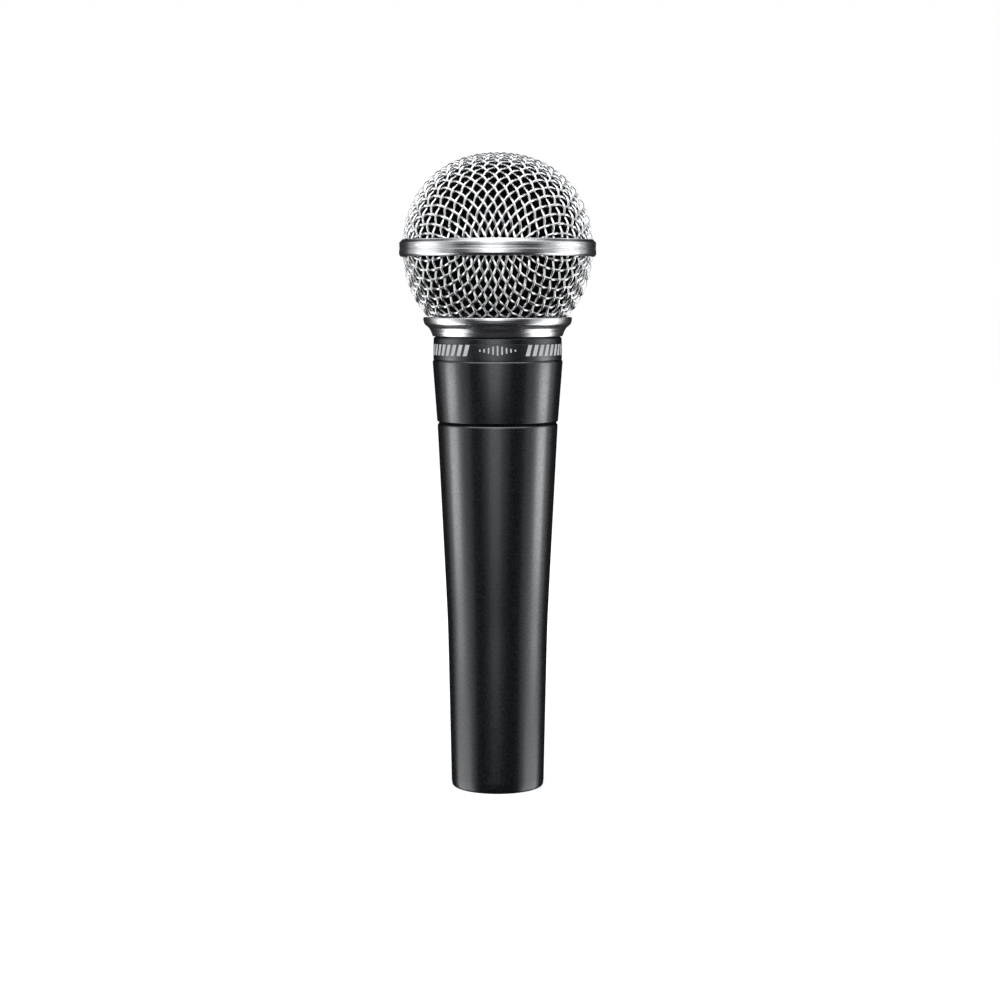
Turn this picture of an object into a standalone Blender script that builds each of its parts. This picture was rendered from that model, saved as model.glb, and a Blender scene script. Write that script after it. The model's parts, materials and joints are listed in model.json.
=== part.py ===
"""Handheld dynamic vocal microphone: ball grille, screwed head, floating capsule, three-pin inlet.

Metres, +Z up.  The origin is the centre of the connector end, which the microphone stands on,
and the front faces -Y.  Sizes below are millimetres and become metres in the functions.
"""
import math

import bmesh
import bpy
from mathutils import Matrix, Vector

MM = 0.001
GAP = 0.3  # between solids that touch on the real object
OUTER_STEPS = 32
INNER_STEPS = 20

# Handle: two cones that meet at a soft knee
MOUTH_R = 11.0
MOUTH_EDGE = 0.8
HANDLE_FOOT_R = 11.85
KNEE_Z, KNEE_R = 42.5, 12.78
HANDLE_TOP_Z, HANDLE_TOP_R = 93.8, 15.4
HANDLE_WALL = 1.8
SOCKET_R, SOCKET_DEPTH = 8.1, 15.2
SEAT_R, SEAT_TOP_Z = 9.1, 24.0
CUP_FLOOR_Z = 84.5  # the head's spigot goes this deep into the handle
CUP_R = 14.05

# Head: tapered cup with a screwed spigot below and a screwed neck above
HEAD_Z, HEAD_R = HANDLE_TOP_Z + 0.9, 15.45
LIP_Z, LIP_R = 109.8, 16.62
BAND_Z0, BAND_Z1, BAND_R = 110.5, 114.7, 16.45
BAND_THICK = 0.45
HEAD_TOP_Z = 116.1
FLANGE_R = 14.75  # sits just above the handle's rim, and makes the seam a shallow groove
SPIGOT_Z, SPIGOT_R, SPIGOT_BORE_R = 86.0, 13.4, 12.3
NECK_TOP_Z, NECK_R, NECK_BORE_R = 120.8, 14.3, 13.3
HEAD_BORE_R = 14.1

# Grille: two wire-cloth halves, nearly hemispheres, on either side of a ring
BALL_Z = 138.75
BALL_R, DOME_H, BOWL_H = 23.5, 23.5, 23.9  # middle of the cloth: at the ring, above it and below it
BALL_POWER = 2.15  # 2 would be an ellipse; the cloth is a little fuller
CLOTH_THICK = 1.3
CLOTH_PITCH = 4.8  # every second wire of the real cloth
DOME_EDGE_Z = BALL_Z + 1.3
BOWL_EDGE_Z = BALL_Z - 1.3
BOWL_FOOT_Z = 121.0
SHORTEST_EDGE = 1.1
RING_R, RING_INNER_R, RING_WEB_R = 25.1, 24.5, 23.3
RING_HALF = 2.15
RING_WEB_HALF = 0.2
COLLAR_Z, COLLAR_TOP_Z, COLLAR_R = 116.45, 121.3, 18.95
COLLAR_BORE_R = 14.85

# Foam that lines the ball
FOAM_OUTER, FOAM_THICK = 1.7, 2.3  # inset from the middle of the cloth, and thickness
FOAM_MOUTH_Z, FOAM_MOUTH_R = 122.4, 14.2

# Capsule
CAPSULE_R = 12.0
FRAME_Z0, FRAME_Z1 = 108.0, 128.2
CAN_Z0, CAN_R = 90.0, 10.8
YOKE_Z0, YOKE_R = 118.4, 9.9
GAP_Z0, GAP_Z1 = 125.4, 127.2  # the magnetic gap's two faces
POLE_R, COIL_R0, COIL_R1, PLATE_BORE_R = 5.2, 5.55, 6.05, 6.45
CAP_TOP_Z = 134.6
DIAPHRAGM_Z = 129.9
MOUNT_Z0, MOUNT_Z1 = 109.0, 114.6

# Three-pin inlet
PIN_R, PIN_CIRCLE_R = 1.2, 4.76
PIN_ANGLES = {"connector_pin_1": 135, "connector_pin_2": 45, "connector_pin_3": 270}
PIN_TIP_Z, PIN_TAIL_Z = 2.6, 22.8
INSERT_Z0, INSERT_Z1 = SOCKET_DEPTH + GAP, 20.0
SCREW_Z, SCREW_R = 17.8, 1.25

# Transformer, on a seat in the middle of the handle
SEAT_RING_Z0, SEAT_RING_Z1 = 43.5, 47.7
SHIELD_TOP_Z, SHIELD_R = 70.4, 9.2
CORE_Z0, CORE_Z1 = 49.4, 61.4
CORE_X, CORE_Y = 7.0, 4.0
BOARD_Z0, BOARD_Z1 = 71.0, 72.2

LOOKS = {  # base colour, roughness, metallic
    "enamel": ((0.012, 0.012, 0.014), 0.45, 0.0),
    "nickel": ((0.72, 0.72, 0.73), 0.28, 1.0),
    "band": ((0.008, 0.008, 0.009), 0.3, 0.0),
    "foam": ((0.02, 0.02, 0.02), 1.0, 0.0),
    "rubber": ((0.02, 0.02, 0.02), 0.8, 0.0),
    "nylon": ((0.03, 0.03, 0.035), 0.5, 0.0),
    "steel": ((0.5, 0.5, 0.52), 0.35, 1.0),
    "magnet": ((0.16, 0.16, 0.17), 0.5, 0.8),
    "copper": ((0.75, 0.33, 0.16), 0.3, 1.0),
    "film": ((0.75, 0.68, 0.5), 0.25, 0.0),
    "felt": ((0.3, 0.3, 0.28), 1.0, 0.0),
    "silver_plate": ((0.8, 0.8, 0.8), 0.2, 1.0),
    "board": ((0.28, 0.17, 0.07), 0.6, 0.0),
    "yellow_wire": ((0.8, 0.6, 0.05), 0.5, 0.0),
    "green_wire": ((0.05, 0.35, 0.12), 0.5, 0.0),
    "red_wire": ((0.6, 0.04, 0.03), 0.5, 0.0),
    "black_wire": ((0.02, 0.02, 0.02), 0.5, 0.0),
}


# ---------------------------------------------------------------- helpers

def clear_scene():
    for obj in list(bpy.data.objects):
        bpy.data.objects.remove(obj, do_unlink=True)


def new_collection(name):
    collection = bpy.data.collections.new(name)
    bpy.context.scene.collection.children.link(collection)
    return collection


def make_material(name):
    colour, roughness, metallic = LOOKS[name]
    material = bpy.data.materials.new(name)
    material.use_nodes = True
    shader = material.node_tree.nodes["Principled BSDF"]
    shader.inputs["Base Color"].default_value = (*colour, 1.0)
    shader.inputs["Roughness"].default_value = roughness
    shader.inputs["Metallic"].default_value = metallic
    return material


def add_object(name, data, look):
    """A new part object, or a hidden cutter when look is None."""
    obj = bpy.data.objects.new(name, data)
    if look is None:
        cutters.objects.link(obj)
        obj.hide_render = True
        obj.display_type = "WIRE"
    else:
        parts.objects.link(obj)
        data.materials.append(materials[look])
    return obj


def turned(name, outline, look, steps=INNER_STEPS):
    """A body of revolution about Z from (radius, z) points, either way round.

    The outline closes on itself, unless it starts and ends on the axis.
    """
    area = sum(r0 * z1 - r1 * z0 for (r0, z0), (r1, z1) in zip(outline, outline[1:] + outline[:1]))
    if area > 0:  # the Screw wants the outer side to run downwards
        outline = outline[::-1]
    count = len(outline)
    on_axis = outline[0][0] == 0 and outline[-1][0] == 0
    edges = [(i, (i + 1) % count) for i in range(count - on_axis)]
    mesh = bpy.data.meshes.new(name)
    mesh.from_pydata([(r * MM, 0, z * MM) for r, z in outline], edges, [])
    obj = add_object(name, mesh, look)
    screw = obj.modifiers.new("turn", "SCREW")
    screw.steps = screw.render_steps = steps
    screw.use_merge_vertices = True
    screw.merge_threshold = 0.00001
    screw.use_smooth_shade = True
    return obj


def tube(name, r0, r1, z0, z1, look, steps=INNER_STEPS):
    return turned(name, [(r1, z1), (r1, z0), (r0, z0), (r0, z1)], look, steps)


def disc(name, r, z0, z1, look, steps=INNER_STEPS):
    return turned(name, [(0, z1), (r, z1), (r, z0), (0, z0)], look, steps)


def mesh_object(name, bm, look):
    mesh = bpy.data.meshes.new(name)
    bm.to_mesh(mesh)
    bm.free()
    return add_object(name, mesh, look)


def box(name, low, high, look, turn=0.0):
    """A box between two corners in mm, then turned about Z by degrees."""
    size = [(b - a) * MM for a, b in zip(low, high)]
    centre = Vector([(a + b) / 2 * MM for a, b in zip(low, high)])
    bm = bmesh.new()
    matrix = Matrix.Rotation(math.radians(turn), 4, "Z") @ Matrix.Translation(centre)
    bmesh.ops.create_cube(bm, size=1.0, matrix=matrix @ Matrix.Diagonal((*size, 1.0)))
    return mesh_object(name, bm, look)


def rod(name, base, direction, length, radius, look, steps=16, tip_radius=None):
    """A cylinder or cone from base, in mm, along direction."""
    axis = Vector(direction).normalized()
    middle = (Vector(base) + axis * length / 2) * MM
    turn = Vector((0, 0, 1)).rotation_difference(axis).to_matrix().to_4x4()
    tip = radius if tip_radius is None else tip_radius
    bm = bmesh.new()
    bmesh.ops.create_cone(
        bm, cap_ends=True, segments=steps, radius1=radius * MM, radius2=tip * MM,
        depth=length * MM, matrix=Matrix.Translation(middle) @ turn,
    )
    return mesh_object(name, bm, look)


def cut(obj, cutter):
    boolean = obj.modifiers.new("cut " + cutter.name, "BOOLEAN")
    boolean.operation = "DIFFERENCE"
    boolean.object = cutter


def bevel(obj, width, segments=1):
    modifier = obj.modifiers.new("bevel", "BEVEL")
    modifier.width = width * MM
    modifier.segments = segments
    modifier.limit_method = "ANGLE"
    modifier.angle_limit = math.radians(40)


def wire(name, points, radius, look):
    """A round wire through points in mm, with flat ends."""
    curve = bpy.data.curves.new(name, "CURVE")
    curve.dimensions = "3D"
    curve.bevel_depth = radius * MM
    curve.bevel_resolution = 2
    curve.use_fill_caps = True
    spline = curve.splines.new("POLY")
    spline.points.add(len(points) - 1)
    for point, place in zip(spline.points, points):
        point.co = (*(v * MM for v in place), 1.0)
    return add_object(name, curve, look)


def on_circle(radius, degrees, z):
    angle = math.radians(degrees)
    return (radius * math.cos(angle), radius * math.sin(angle), z)


def sagging(start, end, out, count=9):
    """Points of a slack wire: straight out of both ends along Z, bowed sideways by out mm."""
    points = []
    for k in range(count):
        t = k / (count - 1)
        ease = t * t * (3 - 2 * t)
        bow = math.sin(math.pi * t) ** 2
        x = start[0] + (end[0] - start[0]) * ease + out[0] * bow
        y = start[1] + (end[1] - start[1]) * ease + out[1] * bow
        points.append((x, y, start[2] + (end[2] - start[2]) * t))
    return points


# ---------------------------------------------------------------- handle

def handle_radius(z):
    """Outer radius of the handle: the lower and upper cones, rounded into each other at the knee."""
    lower = HANDLE_FOOT_R + (KNEE_R - HANDLE_FOOT_R) * z / KNEE_Z
    upper = KNEE_R + (HANDLE_TOP_R - KNEE_R) * (z - KNEE_Z) / (HANDLE_TOP_Z - KNEE_Z)
    soft = 0.06
    return (lower + upper) / 2 + math.sqrt(((lower - upper) / 2) ** 2 + soft ** 2)


def make_handle():
    side = [HANDLE_TOP_Z - 0.25, 78, 62, 50, KNEE_Z, 35, 20, MOUTH_EDGE + 0.5]
    outer = [(HANDLE_TOP_R - 0.25, HANDLE_TOP_Z)] + [(handle_radius(z), z) for z in side]
    edge = [(HANDLE_FOOT_R - 0.35, 0.3), (MOUTH_R, 0.0)]
    inner_z = [SEAT_TOP_Z + 1.5, KNEE_Z, 62, CUP_FLOOR_Z - 1.2]
    inner = [(handle_radius(z) - HANDLE_WALL, z) for z in inner_z]
    bore = [(SOCKET_R, 0.0), (SOCKET_R, SOCKET_DEPTH), (SEAT_R, SOCKET_DEPTH), (SEAT_R, SEAT_TOP_Z)]
    cup = [(CUP_R, CUP_FLOOR_Z), (CUP_R, HANDLE_TOP_Z)]
    body = turned("handle_body", outer + edge + bore + inner + cup, "enamel", OUTER_STEPS)
    cut(body, box("keyway_cutter", (-1.6, 7.0, -1), (1.6, 9.0, 10), None))
    screw_hole = rod("screw_hole_cutter", (0, 8, SCREW_Z), (0, 1, 0), 6, SCREW_R + GAP, None)
    cut(body, screw_hole)


def make_inlet():
    insert = disc("connector_insert", SEAT_R - GAP, INSERT_Z0, INSERT_Z1, "nylon")
    for name, angle in PIN_ANGLES.items():
        x, y, _ = on_circle(PIN_CIRCLE_R, angle, 0)
        rounded = [(0, PIN_TAIL_Z), (PIN_R, PIN_TAIL_Z), (PIN_R, PIN_TIP_Z + 0.7),
                   (PIN_R * 0.7, PIN_TIP_Z + 0.15), (0, PIN_TIP_Z)]
        pin = turned(name, rounded, "silver_plate", 12)
        pin.location = (x * MM, y * MM, 0)
        hole = rod(name + "_hole_cutter", (x, y, INSERT_Z0 - 1), (0, 0, 1), 8, PIN_R + GAP, None)
        cut(insert, hole)
    lug_start = PIN_CIRCLE_R + PIN_R + GAP
    box("ground_lug", (lug_start, -1.2, INSERT_Z1 + GAP), (SEAT_R - GAP, 1.2, INSERT_Z1 + 0.8),
        "silver_plate", PIN_ANGLES["connector_pin_1"])
    screw = rod("insert_set_screw", (0, SEAT_R + GAP, SCREW_Z), (0, 1, 0), 2.4, SCREW_R, "steel", 14)
    cut(screw, box("screw_slot_cutter", (-2, 11.2, SCREW_Z - 0.25), (2, 13, SCREW_Z + 0.25), None))


def make_transformer():
    tube("transformer_seat", 4.4, handle_radius(SEAT_RING_Z0) - HANDLE_WALL - GAP,
         SEAT_RING_Z0, SEAT_RING_Z1, "foam")
    floor = SEAT_RING_Z1 + GAP
    shield = [(SHIELD_R, SHIELD_TOP_Z), (SHIELD_R, floor), (3.6, floor), (3.6, floor + 0.7),
              (SHIELD_R - 0.6, floor + 0.7), (SHIELD_R - 0.6, SHIELD_TOP_Z)]
    turned("transformer_shield", shield, "steel")

    leg, window_out, yoke = 2.2, 4.9, 2.2
    core = box("transformer_core", (-CORE_X, -CORE_Y, CORE_Z0), (CORE_X, CORE_Y, CORE_Z1), "magnet")
    for side in (-1, 1):
        xs = sorted((side * leg, side * window_out))
        low, high = (xs[0], -9, CORE_Z0 + yoke), (xs[1], 9, CORE_Z1 - yoke)
        cut(core, box(f"core_window_cutter_{side + 2}", low, high, None))

    z0, z1 = CORE_Z0 + yoke + GAP, CORE_Z1 - yoke - GAP
    bobbin = box("transformer_bobbin", (-4.55, -6.3, z0), (4.55, 6.3, z1), "nylon")
    bore = (leg + GAP, CORE_Y + GAP)
    cut(bobbin, box("bobbin_bore_cutter", (-bore[0], -bore[1], z0 - 1), (*bore, z1 + 1), None))
    flange, wall = 0.5, 0.45
    waist = box("bobbin_waist_cutter", (-9, -9, z0 + flange), (9, 9, z1 - flange), None)
    core_of_waist = box("bobbin_core_cutter", (-bore[0] - wall, -bore[1] - wall, z0 - 1),
                        (bore[0] + wall, bore[1] + wall, z1 + 1), None)
    cut(waist, core_of_waist)
    cut(bobbin, waist)
    inner = (bore[0] + wall + 0.2, bore[1] + wall + 0.2)
    low, high = (-4.5, -6.2, z0 + flange + 0.2), (4.5, 6.2, z1 - flange - 0.2)
    winding = box("transformer_winding", low, high, "copper")
    cut(winding, box("winding_bore_cutter", (-inner[0], -inner[1], z0), (*inner, z1), None))

    board_r = handle_radius(BOARD_Z0) - HANDLE_WALL - 0.5
    disc("terminal_board", board_r, BOARD_Z0, BOARD_Z1, "board")
    looks = {"connector_pin_1": "black_wire", "connector_pin_2": "red_wire", "connector_pin_3": "green_wire"}
    for name, angle in PIN_ANGLES.items():
        start = on_circle(PIN_CIRCLE_R, angle, PIN_TAIL_Z + GAP)
        end = on_circle(2.3, angle, SEAT_RING_Z1 - 0.2)
        wire(name.replace("connector_pin", "output_wire"),
             sagging(start, end, on_circle(1.2, angle + 60, 0)), 0.6, looks[name])


# ---------------------------------------------------------------- head

def make_head():
    outer = [(NECK_R - 0.4, NECK_TOP_Z), (NECK_R, NECK_TOP_Z - 0.4), (NECK_R, HEAD_TOP_Z),
             (BAND_R - 0.4, HEAD_TOP_Z), (BAND_R - 0.1, HEAD_TOP_Z - 0.3), (BAND_R - 0.1, BAND_Z1 + GAP),
             (BAND_R - BAND_THICK - GAP, BAND_Z1 + GAP), (BAND_R - BAND_THICK - GAP, BAND_Z0 - GAP),
             (LIP_R - 0.15, BAND_Z0 - GAP), (LIP_R, LIP_Z), (HEAD_R, HEAD_Z + 0.3),
             (HEAD_R - 0.3, HEAD_Z), (FLANGE_R, HEAD_Z), (FLANGE_R, HANDLE_TOP_Z + GAP),
             (SPIGOT_R, HANDLE_TOP_Z + GAP)]
    spigot = [(SPIGOT_R, SPIGOT_Z + 0.5), (SPIGOT_R - 0.5, SPIGOT_Z), (SPIGOT_BORE_R, SPIGOT_Z)]
    inner = [(SPIGOT_BORE_R, HEAD_Z + 1), (HEAD_BORE_R, HEAD_Z + 4), (HEAD_BORE_R, HEAD_TOP_Z - 0.6),
             (NECK_BORE_R, HEAD_TOP_Z + 0.4), (NECK_BORE_R, NECK_TOP_Z)]
    turned("head_housing", outer + spigot + inner, "enamel", OUTER_STEPS)
    tube("name_band", BAND_R - BAND_THICK, BAND_R, BAND_Z0, BAND_Z1, "band", OUTER_STEPS)


def make_shock_mount():
    tube("mount_clamp_ring", CAPSULE_R + 0.5, HEAD_BORE_R - GAP, MOUNT_Z0 - 1.9, MOUNT_Z0 - GAP, "steel")
    r0, r1 = CAPSULE_R + GAP, HEAD_BORE_R - GAP
    fold = (r1 - r0) * 0.42
    boot = [(r0 + fold, MOUNT_Z1), (r0 + fold, MOUNT_Z0 + 2.2), (r1, MOUNT_Z0 + 1.4), (r1, MOUNT_Z0),
            (r0 + fold * 1.2, MOUNT_Z0), (r0, MOUNT_Z1 - 1.5), (r0, MOUNT_Z1)]
    turned("shock_mount_boot", boot, "rubber")


def make_leads():
    for name, x, look in (("lead_yellow", -3.0, "yellow_wire"), ("lead_green", 3.0, "green_wire")):
        start, end = (x * 1.6, 0, BOARD_Z1 + GAP), (x, 0, 84.8)
        wire(name, sagging(start, end, (0, -1.5 if x < 0 else 1.5)), 0.55, look)


# ---------------------------------------------------------------- capsule

def make_capsule():
    lower, upper = FRAME_Z0, FRAME_Z1
    ledge = YOKE_Z0 - GAP
    frame = [(CAPSULE_R, upper), (CAPSULE_R, lower), (CAN_R - 1.4, lower), (CAN_R - 1.4, lower + 1.2),
             (CAN_R - 0.4, lower + 1.2), (CAN_R - 0.4, ledge - 1.2), (CAN_R - 2.4, ledge - 1.2),
             (CAN_R - 2.4, ledge), (YOKE_R + GAP, ledge), (YOKE_R + GAP, upper)]
    turned("capsule_frame", frame, "nylon", 24)

    wall, bottom = 0.8, 1.0
    can_top = lower - GAP
    can = [(CAN_R, can_top), (CAN_R, CAN_Z0 + 1), (CAN_R - 1, CAN_Z0), (0, CAN_Z0), (0, CAN_Z0 + bottom),
           (CAN_R - wall, CAN_Z0 + bottom), (CAN_R - wall, can_top)]
    turned("rear_chamber", can[4:] + can[:4], "steel", 24)

    yoke = [(YOKE_R, GAP_Z1), (YOKE_R, YOKE_Z0), (0, YOKE_Z0), (0, YOKE_Z0 + 2), (7.3, YOKE_Z0 + 2),
            (7.3, GAP_Z0), (PLATE_BORE_R, GAP_Z0), (PLATE_BORE_R, GAP_Z1)]
    turned("magnet_yoke", yoke[3:] + yoke[:3], "nickel", 24)
    disc("magnet", POLE_R - 0.2, YOKE_Z0 + 2 + GAP, GAP_Z0 - GAP, "magnet")
    disc("pole_piece", POLE_R, GAP_Z0, GAP_Z1, "steel")
    tube("damping_felt", COIL_R1 + 0.8, YOKE_R - 0.3, GAP_Z1 + GAP, FRAME_Z1 - 0.1, "felt")


def make_cap():
    skirt_z, plate = FRAME_Z1 + GAP, 1.2
    inner_r = CAPSULE_R - 0.9
    cup = [(0, CAP_TOP_Z), (CAPSULE_R - 1.0, CAP_TOP_Z), (CAPSULE_R, CAP_TOP_Z - 1.0), (CAPSULE_R, skirt_z),
           (inner_r, skirt_z), (inner_r, CAP_TOP_Z - plate), (0, CAP_TOP_Z - plate)]
    cap = turned("resonator_cap", cup, "nylon", 24)
    cut(cap, rod("cap_hole_cutter", (0, 0, CAP_TOP_Z - 3), (0, 0, 1), 5, 2.6, None))
    for k in range(6):
        low, high = (4.6, -1.0, CAP_TOP_Z - 3), (8.6, 1.0, CAP_TOP_Z + 2)
        cut(cap, box(f"cap_slot_cutter_{k + 1}", low, high, None, 60 * k + 30))
    top = CAP_TOP_Z - plate - GAP
    disc("capsule_screen", inner_r - GAP, top - 0.3, top, "felt")


def make_moving_coil():
    dome_r, edge_r, thick = COIL_R1, CAPSULE_R - 1.7, 0.25
    z = DIAPHRAGM_Z
    upper = [(0, z + 2.0), (dome_r * 0.55, z + 1.5), (dome_r, z + thick), (8.0, z + 0.9), (edge_r, z + thick)]
    lower = [(edge_r, z), (8.0, z + 0.65), (dome_r, z), (dome_r * 0.55, z + 1.25), (0, z + 1.75)]
    turned("diaphragm", upper + lower, "film", 24)
    tube("voice_coil", COIL_R0, COIL_R1, GAP_Z0 - 0.5, DIAPHRAGM_Z - GAP, "copper", 24)


def make_terminals():
    top = CAN_Z0 - GAP
    disc("capsule_terminal_plate", 9.0, top - 1.0, top, "board")
    for name, x in (("capsule_terminal_1", -3.0), ("capsule_terminal_2", 3.0)):
        lug = box(name, (x - 0.9, -0.35, 85.1), (x + 0.9, 0.35, top - 1.0 - GAP), "silver_plate")
        bevel(lug, 0.2)


# ---------------------------------------------------------------- grille

def ball_point(direction, inset=0.0):
    """The point of the ball's surface that lies along a unit vector from its centre."""
    flat = math.hypot(direction[0], direction[1])
    height = DOME_H if direction[2] > 0 else BOWL_H
    share = (flat / BALL_R) ** BALL_POWER + (abs(direction[2]) / height) ** BALL_POWER
    return Vector(direction) * (share ** (-1 / BALL_POWER) - inset)


def cloth_net(step, reach):
    """Knots of square cloth laid on a unit sphere from the pole, as {(i, j): unit vector}.

    Two wires cross at the pole, and every further knot is one step from its two neighbours,
    so the squares shear into tall diamonds between the two wires, as pressed wire cloth does.
    """
    knots = {}
    count = math.ceil(reach / step) + 1
    for i in range(count + 1):
        along = Vector((math.sin(i * step), 0, math.cos(i * step)))
        knots[i, 0], knots[0, i] = along, Vector((0, along.x, along.z))
    for i in range(1, count + 1):
        for j in range(1, count + 1):
            if (i - 1, j) not in knots or (i, j - 1) not in knots:
                continue
            a, b = knots[i, j - 1], knots[i - 1, j]
            scale = math.cos(step) / (1 + a.dot(b))
            middle, across = (a + b) * scale, a.cross(b)
            rest = 1 - middle.length_squared
            if rest <= 0 or across.length < 1e-6:
                continue
            offset = across * (math.sqrt(rest) / across.length)
            knots[i, j] = min((middle + offset, middle - offset), key=knots[i - 1, j - 1].dot)
    for (i, j), knot in list(knots.items()):
        for si, sj in ((-1, 1), (1, -1), (-1, -1)):
            knots[si * i, sj * j] = Vector((si * knot.x, sj * knot.y, knot.z))
    return knots


def grille_half(name, upside, planes):
    """Coarse wire cloth on one half of the ball, trimmed level by (z, keep above or below) planes."""
    bm = bmesh.new()
    turn = Matrix.Rotation(math.radians(45), 3, "Z")
    centre = Vector((0, 0, BALL_Z))
    verts = {}
    for key, knot in cloth_net(CLOTH_PITCH / BALL_R, math.radians(94)).items():
        unit = turn @ knot
        unit.z *= upside
        verts[key] = bm.verts.new((centre + ball_point(unit)) * MM)
    for i, j in list(verts):
        corners = [(i, j), (i + 1, j), (i + 1, j + 1), (i, j + 1)]
        if all(corner in verts for corner in corners):
            bm.faces.new([verts[corner] for corner in corners])
    for z, above in planes:
        geometry = bm.verts[:] + bm.edges[:] + bm.faces[:]
        normal = (0, 0, -1 if above else 1)
        bmesh.ops.bisect_plane(bm, geom=geometry, plane_co=(0, 0, z * MM), plane_no=normal, clear_outer=True)
    bmesh.ops.remove_doubles(bm, verts=bm.verts[:], dist=SHORTEST_EDGE * MM)
    for vert in bm.verts:
        near = min((z for z, _ in planes), key=lambda z: abs(vert.co.z / MM - z))
        if vert.is_boundary and abs(vert.co.z / MM - near) < SHORTEST_EDGE:
            vert.co.z = near * MM
    loose = [v for v in bm.verts if not v.link_faces]
    bmesh.ops.delete(bm, geom=loose, context="VERTS")
    bmesh.ops.recalc_face_normals(bm, faces=bm.faces[:])
    obj = mesh_object(name, bm, "nickel")
    wires = obj.modifiers.new("wires", "WIREFRAME")
    wires.thickness = CLOTH_THICK * MM
    wires.use_boundary = True
    wires.use_even_offset = False
    return obj


def make_ring():
    inner, web = RING_INNER_R, RING_WEB_HALF
    low, high = BALL_Z - RING_HALF, BALL_Z + RING_HALF
    outline = [(inner, high), (RING_R, high - 0.8), (RING_R - 0.1, BALL_Z), (RING_R, low + 0.5),
               (RING_R - 0.3, low), (inner, low), (inner, BALL_Z - web), (RING_WEB_R, BALL_Z - web),
               (RING_WEB_R, BALL_Z + web), (inner, BALL_Z + web)]
    turned("grille_ring", outline, "nickel", OUTER_STEPS)


def make_collar():
    """Flared collar: the bowl's foot sits in its rim, and its bore takes the head's neck."""
    rim, z0, z1 = COLLAR_R, COLLAR_Z, COLLAR_TOP_Z
    outer = [(rim - 0.3, z1), (rim, z1 - 0.3), (rim - 0.05, z1 - 0.9), (rim - 0.4, z1 - 1.5),
             (rim - 1.6, z1 - 2.7), (rim - 2.0, z1 - 3.6), (rim - 2.4, z0)]
    inner = [(COLLAR_BORE_R, z0), (COLLAR_BORE_R, z1), (15.6, z1), (15.6, z1 - 1.1), (rim - 0.6, z1 - 1.1),
             (rim - 0.6, z1)]
    turned("grille_collar", outer + inner, "nickel", OUTER_STEPS)


def make_foam():
    """Foam lining: one bag that follows the ball inside the cloth, open at the neck."""
    def run(inset, z_stop, count):
        points = []
        for k in range(count + 1):
            angle = math.radians(150 * k / count)
            place = ball_point((math.sin(angle), 0, math.cos(angle)), inset)
            points.append((max(place.x, 0.0), BALL_Z + place.z))
        return [p for p in points if p[1] > z_stop]

    outer = run(FOAM_OUTER, FOAM_MOUTH_Z + 1.2, 14)
    inner = run(FOAM_OUTER + FOAM_THICK, FOAM_MOUTH_Z + 1.2, 12)
    mouth = [(16.4, FOAM_MOUTH_Z), (FOAM_MOUTH_R, FOAM_MOUTH_Z)]
    turned("foam_liner", outer + mouth + inner[::-1], "foam", 24)


clear_scene()
parts = new_collection("dynamic_microphone")
cutters = new_collection("cutters")
materials = {name: make_material(name) for name in LOOKS}

make_handle()
make_inlet()
make_transformer()
make_head()
make_shock_mount()
make_leads()
make_capsule()
make_cap()
make_moving_coil()
make_terminals()
grille_half("grille_dome", 1, [(DOME_EDGE_Z, True)])
grille_half("grille_bowl", -1, [(BOWL_EDGE_Z, False), (BOWL_FOOT_Z, True)])
make_ring()
make_collar()
make_foam()
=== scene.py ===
"""Looks of the handheld dynamic microphone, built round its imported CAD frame.

Lengths here are millimetres, and new_mesh turns them into metres.  +Z is up and the front faces -Y.
"""
import json
import math

import bmesh
import bpy
import numpy as np
from mathutils import Matrix, Vector


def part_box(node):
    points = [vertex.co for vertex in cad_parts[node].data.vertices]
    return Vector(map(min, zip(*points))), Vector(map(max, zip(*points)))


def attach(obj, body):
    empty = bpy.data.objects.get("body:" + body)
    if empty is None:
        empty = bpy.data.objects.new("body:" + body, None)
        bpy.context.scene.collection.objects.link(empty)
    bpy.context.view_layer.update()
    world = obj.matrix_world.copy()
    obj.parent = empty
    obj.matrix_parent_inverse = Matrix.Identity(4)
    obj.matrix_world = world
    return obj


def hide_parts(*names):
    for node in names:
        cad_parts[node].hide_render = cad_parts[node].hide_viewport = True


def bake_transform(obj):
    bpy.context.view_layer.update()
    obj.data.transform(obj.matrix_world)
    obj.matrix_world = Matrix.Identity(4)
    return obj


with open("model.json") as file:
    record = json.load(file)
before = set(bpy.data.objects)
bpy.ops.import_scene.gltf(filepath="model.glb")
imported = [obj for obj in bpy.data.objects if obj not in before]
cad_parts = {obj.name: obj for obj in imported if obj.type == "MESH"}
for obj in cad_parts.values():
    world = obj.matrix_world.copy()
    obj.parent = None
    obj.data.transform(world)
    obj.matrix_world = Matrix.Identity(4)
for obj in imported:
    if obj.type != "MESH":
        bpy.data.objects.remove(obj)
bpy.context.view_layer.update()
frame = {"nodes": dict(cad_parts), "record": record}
MM = 0.001
FINE, MEDIUM, COARSE = 192, 96, 48  # steps of a turned piece
SHARP = 35  # degrees: a steeper edge is shaded as an edge
THREAD_LEAD = 1.25  # mm a turn, as the joints' couplings have it
SLIVER = 0.0005  # edges shorter than this are left over from a cut


def box_mm(node):
    """Lowest and highest corner of a CAD node, in mm."""
    return [tuple(v / MM for v in corner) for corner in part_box(node)]


def span(node):
    """Outer radius, foot and top of a round CAD node, in mm."""
    low, high = box_mm(node)
    return max(high[0], high[1]), low[2], high[2]


# ---------------------------------------------------------------- materials

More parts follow.
